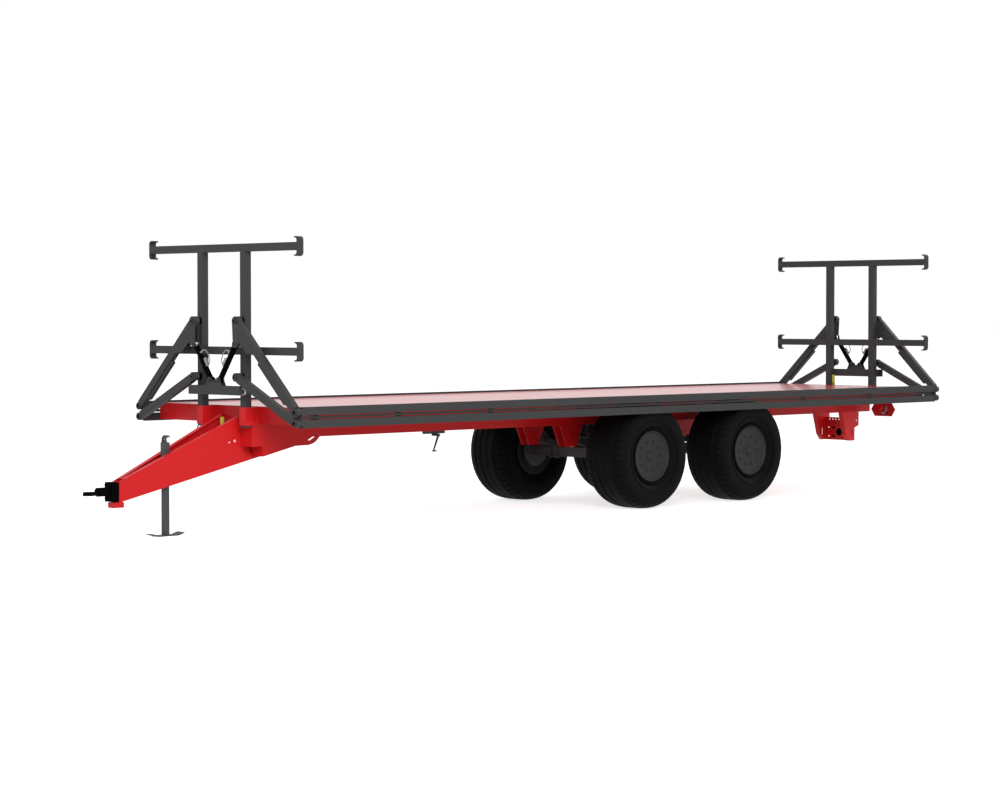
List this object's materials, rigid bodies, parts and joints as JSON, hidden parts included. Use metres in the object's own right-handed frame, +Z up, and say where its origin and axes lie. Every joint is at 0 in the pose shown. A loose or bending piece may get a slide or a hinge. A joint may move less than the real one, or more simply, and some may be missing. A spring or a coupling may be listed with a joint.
{
  "type": "flatbed bale trailer",
  "caption": "Two-axle flatbed trailer for hay and straw bales, with a tapered drawbar, raised end frames and side rails that swing out and up on arms.",
  "frame": {"origin": "on the ground, under the middle of the overall length and width", "axes": "+X to the trailer's left, -Y forwards to the drawbar, +Z up"},
  "size_m": [2.608, 12.352, 2.976],
  "materials": {
    "red_paint": "gloss red paint",
    "grey_paint": "satin dark grey paint",
    "dark_paint": "satin near-black paint",
    "black_paint": "black paint",
    "rim_paint": "satin dark grey paint",
    "tyre": "ribbed black rubber",
    "chrome_rod": "hard chrome"
  },
  "bodies": {
    "root": {"drawbar": "red_paint", "drawbar_braces": "red_paint", "tow_block": "black_paint", "tow_eye": "black_paint", "chassis_beams": "red_paint", "cross_members": "red_paint", "side_sills": "red_paint", "front_beam": "red_paint", "rear_beam": "red_paint", "deck": "red_paint", "front_frame": "grey_paint", "rear_frame": "grey_paint", "front_pins": "black_paint", "rear_pins": "black_paint", "jack_sleeve": "dark_paint", "hangers": "red_paint", "leaf_springs": "dark_paint", "equalisers": "dark_paint", "front_axle": "dark_paint", "rear_axle": "dark_paint", "rear_console": "red_paint", "light_left": "red_paint", "light_right": "red_paint", "brake_crank": "dark_paint"},
    "jack_leg": {"jack_leg": "dark_paint"},
    "wheel_fl": {"tyre_fl": "tyre", "rim_fl": "rim_paint"},
    "wheel_fr": {"tyre_fr": "tyre", "rim_fr": "rim_paint"},
    "wheel_rl": {"tyre_rl": "tyre", "rim_rl": "rim_paint"},
    "wheel_rr": {"tyre_rr": "tyre", "rim_rr": "rim_paint"},
    "upper_arm_fl": {"upper_arm_fl": "grey_paint"},
    "upper_arm_fr": {"upper_arm_fr": "grey_paint"},
    "upper_arm_rl": {"upper_arm_rl": "grey_paint"},
    "upper_arm_rr": {"upper_arm_rr": "grey_paint"},
    "lower_arm_fl": {"lower_arm_fl": "grey_paint"},
    "lower_arm_fr": {"lower_arm_fr": "grey_paint"},
    "lower_arm_rl": {"lower_arm_rl": "grey_paint"},
    "lower_arm_rr": {"lower_arm_rr": "grey_paint"},
    "rail_left": {"rail_left": "grey_paint"},
    "rail_right": {"rail_right": "grey_paint"},
    "barrel_fl": {"barrel_fl": "black_paint"},
    "barrel_fr": {"barrel_fr": "black_paint"},
    "barrel_rl": {"barrel_rl": "black_paint"},
    "barrel_rr": {"barrel_rr": "black_paint"},
    "rod_fl": {"rod_fl": "chrome_rod"},
    "rod_fr": {"rod_fr": "chrome_rod"},
    "rod_rl": {"rod_rl": "chrome_rod"},
    "rod_rr": {"rod_rr": "chrome_rod"}
  },
  "joints": [
    {"name": "arms_left", "type": "hinge", "parent": "root", "child": "upper_arm_fl", "pos_m": [0.346, -4.556, 2.14], "axis": [0, -1, 0], "range_deg": [0, 10]},
    {"name": "rear_upper_arm_left", "type": "hinge", "parent": "root", "child": "upper_arm_rl", "pos_m": [0.346, 6.134, 2.14], "axis": [0, -1, 0], "range_deg": [0, 10]},
    {"name": "front_lower_arm_left", "type": "hinge", "parent": "root", "child": "lower_arm_fl", "pos_m": [0.346, -4.556, 1.575], "axis": [0, -1, 0], "range_deg": [0, 11.61]},
    {"name": "front_cylinder_left", "type": "hinge", "parent": "root", "child": "barrel_fl", "pos_m": [0.07, -4.556, 1.54], "axis": [0, -1, 0], "range_deg": [-4.15, 0]},
    {"name": "front_rod_left", "type": "slide", "parent": "barrel_fl", "child": "rod_fl", "axis": [0.5762, 0, 0.8173], "range_m": [0, 0.0247]},
    {"name": "rear_lower_arm_left", "type": "hinge", "parent": "root", "child": "lower_arm_rl", "pos_m": [0.346, 6.134, 1.575], "axis": [0, -1, 0], "range_deg": [0, 11.61]},
    {"name": "rear_cylinder_left", "type": "hinge", "parent": "root", "child": "barrel_rl", "pos_m": [0.07, 6.134, 1.54], "axis": [0, -1, 0], "range_deg": [-4.15, 0]},
    {"name": "rear_rod_left", "type": "slide", "parent": "barrel_rl", "child": "rod_rl", "axis": [0.5762, 0, 0.8173], "range_m": [0, 0.0247]},
    {"name": "rail_tilt_left", "type": "hinge", "parent": "upper_arm_fl", "child": "rail_left", "pos_m": [1.264, 0, 1.249], "axis": [0, -1, 0], "range_deg": [-48.72, 0]},
    {"name": "arms_right", "type": "hinge", "parent": "root", "child": "upper_arm_fr", "pos_m": [-0.346, -4.556, 2.14], "axis": [0, 1, 0], "range_deg": [0, 10]},
    {"name": "rear_upper_arm_right", "type": "hinge", "parent": "root", "child": "upper_arm_rr", "pos_m": [-0.346, 6.134, 2.14], "axis": [0, 1, 0], "range_deg": [0, 10]},
    {"name": "front_lower_arm_right", "type": "hinge", "parent": "root", "child": "lower_arm_fr", "pos_m": [-0.346, -4.556, 1.575], "axis": [0, 1, 0], "range_deg": [0, 11.61]},
    {"name": "front_cylinder_right", "type": "hinge", "parent": "root", "child": "barrel_fr", "pos_m": [-0.07, -4.556, 1.54], "axis": [0, 1, 0], "range_deg": [-4.15, 0]},
    {"name": "front_rod_right", "type": "slide", "parent": "barrel_fr", "child": "rod_fr", "axis": [-0.5762, 0, 0.8173], "range_m": [0, 0.0247]},
    {"name": "rear_lower_arm_right", "type": "hinge", "parent": "root", "child": "lower_arm_rr", "pos_m": [-0.346, 6.134, 1.575], "axis": [0, 1, 0], "range_deg": [0, 11.61]},
    {"name": "rear_cylinder_right", "type": "hinge", "parent": "root", "child": "barrel_rr", "pos_m": [-0.07, 6.134, 1.54], "axis": [0, 1, 0], "range_deg": [-4.15, 0]},
    {"name": "rear_rod_right", "type": "slide", "parent": "barrel_rr", "child": "rod_rr", "axis": [-0.5762, 0, 0.8173], "range_m": [0, 0.0247]},
    {"name": "rail_tilt_right", "type": "hinge", "parent": "upper_arm_fr", "child": "rail_right", "pos_m": [-1.264, 0, 1.249], "axis": [0, 1, 0], "range_deg": [-48.72, 0]},
    {"name": "jack", "type": "slide", "parent": "root", "child": "jack_leg", "axis": [0, 0, 1], "range_m": [0, 0.214]},
    {"name": "wheel_front_left", "type": "hinge", "parent": "root", "child": "wheel_fl", "pos_m": [0.935, 0.768, 0.6], "axis": [1, 0, 0], "continuous": true},
    {"name": "wheel_front_right", "type": "hinge", "parent": "root", "child": "wheel_fr", "pos_m": [-0.935, 0.768, 0.6], "axis": [1, 0, 0], "continuous": true},
    {"name": "wheel_rear_left", "type": "hinge", "parent": "root", "child": "wheel_rl", "pos_m": [0.935, 2.513, 0.6], "axis": [1, 0, 0], "continuous": true},
    {"name": "wheel_rear_right", "type": "hinge", "parent": "root", "child": "wheel_rr", "pos_m": [-0.935, 2.513, 0.6], "axis": [1, 0, 0], "continuous": true}
  ],
  "couplings": [
    {"joint": "rear_upper_arm_left", "follows": "arms_left", "ratio": 1},
    {"joint": "front_lower_arm_left", "follows": "arms_left", "ratio": 1.156},
    {"joint": "front_cylinder_left", "follows": "arms_left", "ratio": -0.4105},
    {"joint": "front_rod_left", "follows": "arms_left", "m_per_rad": 0.1397},
    {"joint": "rear_lower_arm_left", "follows": "arms_left", "ratio": 1.156},
    {"joint": "rear_cylinder_left", "follows": "arms_left", "ratio": -0.4105},
    {"joint": "rear_rod_left", "follows": "arms_left", "m_per_rad": 0.1397},
    {"joint": "rail_tilt_left", "follows": "arms_left", "ratio": -4.862},
    {"joint": "rear_upper_arm_right", "follows": "arms_right", "ratio": 1},
    {"joint": "front_lower_arm_right", "follows": "arms_right", "ratio": 1.156},
    {"joint": "front_cylinder_right", "follows": "arms_right", "ratio": -0.4105},
    {"joint": "front_rod_right", "follows": "arms_right", "m_per_rad": 0.1397},
    {"joint": "rear_lower_arm_right", "follows": "arms_right", "ratio": 1.156},
    {"joint": "rear_cylinder_right", "follows": "arms_right", "ratio": -0.4105},
    {"joint": "rear_rod_right", "follows": "arms_right", "m_per_rad": 0.1397},
    {"joint": "rail_tilt_right", "follows": "arms_right", "ratio": -4.862}
  ]
}
